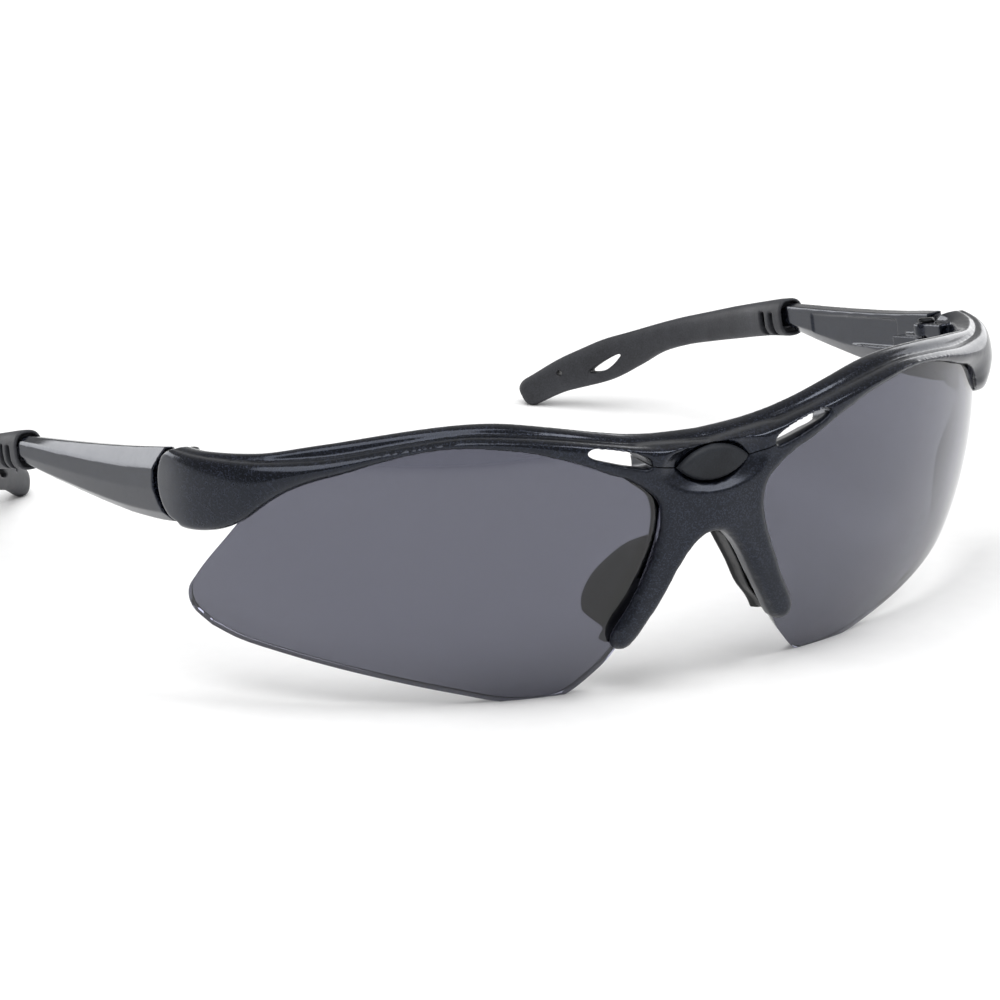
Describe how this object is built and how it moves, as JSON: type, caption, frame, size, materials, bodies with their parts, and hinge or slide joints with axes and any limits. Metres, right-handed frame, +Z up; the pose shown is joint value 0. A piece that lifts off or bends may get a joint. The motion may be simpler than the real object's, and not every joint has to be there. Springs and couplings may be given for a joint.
{
  "type": "safety glasses",
  "caption": "Half-rimmed wrap-around safety glasses with smoke lenses, soft nose pads and folding temples with soft tips.",
  "frame": {"origin": "on the floor, under the middle of the open glasses' overall box", "axes": "+X to the wearer's left, +Y back from the lenses towards the temple tips, +Z up"},
  "size_m": [0.1512, 0.1448, 0.0464],
  "materials": {
    "frame_gloss": "glossy black with a fine dark pearl",
    "bridge_satin": "black, a little softer than the brow bar",
    "smoke_lens": "clear polished, neutral smoke tint",
    "cap_rubber": "matte",
    "pad_rubber": "matte with a faint sheen",
    "tip_rubber": "matte, finely grained",
    "pad_clip": "matte",
    "steel": "plain turned steel"
  },
  "bodies": {
    "front": {"brow_bar": "frame_gloss", "nose_bridge": "bridge_satin", "bridge_cap": "cap_rubber", "bridge_screw": "steel", "left_lens": "smoke_lens", "left_nose_pad": "pad_rubber", "left_pad_blade": "pad_clip", "left_hinge_screw": "steel", "left_hinge_nut": "steel", "right_lens": "smoke_lens", "right_nose_pad": "pad_rubber", "right_pad_blade": "pad_clip", "right_hinge_screw": "steel", "right_hinge_nut": "steel"},
    "left_arm": {"left_temple": "frame_gloss", "left_temple_core": "steel", "left_temple_tip": "tip_rubber"},
    "right_arm": {"right_temple": "frame_gloss", "right_temple_core": "steel", "right_temple_tip": "tip_rubber"}
  },
  "joints": [
    {"name": "left_temple_fold", "type": "hinge", "parent": "front", "child": "left_arm", "pos_m": [0.0686, -0.02788, 0.0342], "axis": [0, 0.225, 0.9744], "range_deg": [0, 90]},
    {"name": "right_temple_fold", "type": "hinge", "parent": "front", "child": "right_arm", "pos_m": [-0.0686, -0.02788, 0.0342], "axis": [0, -0.225, -0.9744], "range_deg": [0, 70]}
  ]
}
